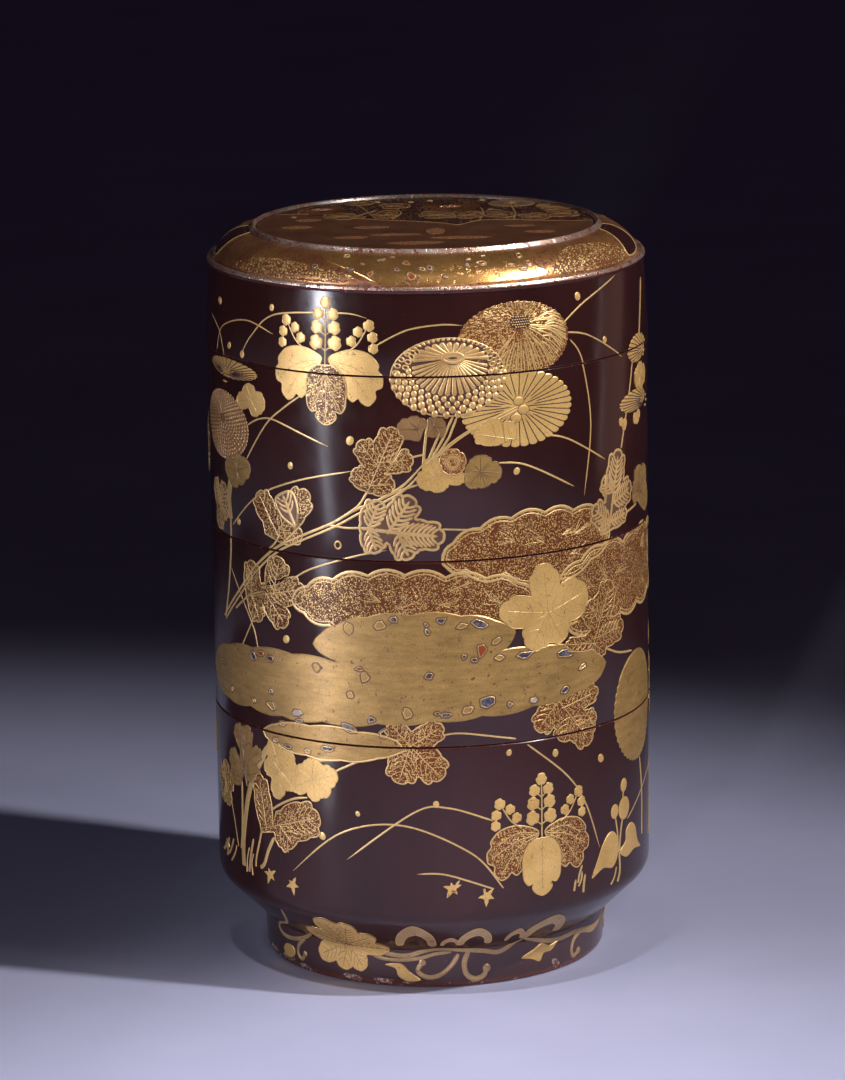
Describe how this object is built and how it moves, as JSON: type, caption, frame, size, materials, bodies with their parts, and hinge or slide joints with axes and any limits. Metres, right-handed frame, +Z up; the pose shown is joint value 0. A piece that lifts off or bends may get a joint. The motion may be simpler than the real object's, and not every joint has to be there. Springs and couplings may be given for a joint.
{
  "type": "lacquer food container",
  "caption": "Round stacking food container in lacquered wood with gold pictures: a domed lid over plain tiers, the lowest on a foot ring.",
  "frame": {"origin": "centre of the foot ring's underside, on the surface it stands on", "axes": "+Z up along the turning axis, through the lid; -Y towards the side of the picture seen in front, +X to its right"},
  "size_m": [0.1808, 0.1808, 0.304],
  "materials": {
    "brown_lacquer": "polished dark brown lacquer on turned wood",
    "gold_lacquer": "gold powder in lacquer, polished, partly worn"
  },
  "bodies": {
    "root": {"lid": "brown_lacquer", "upper_tier": "brown_lacquer", "middle_tier": "brown_lacquer", "lower_tier": "brown_lacquer"}
  },
  "joints": []
}
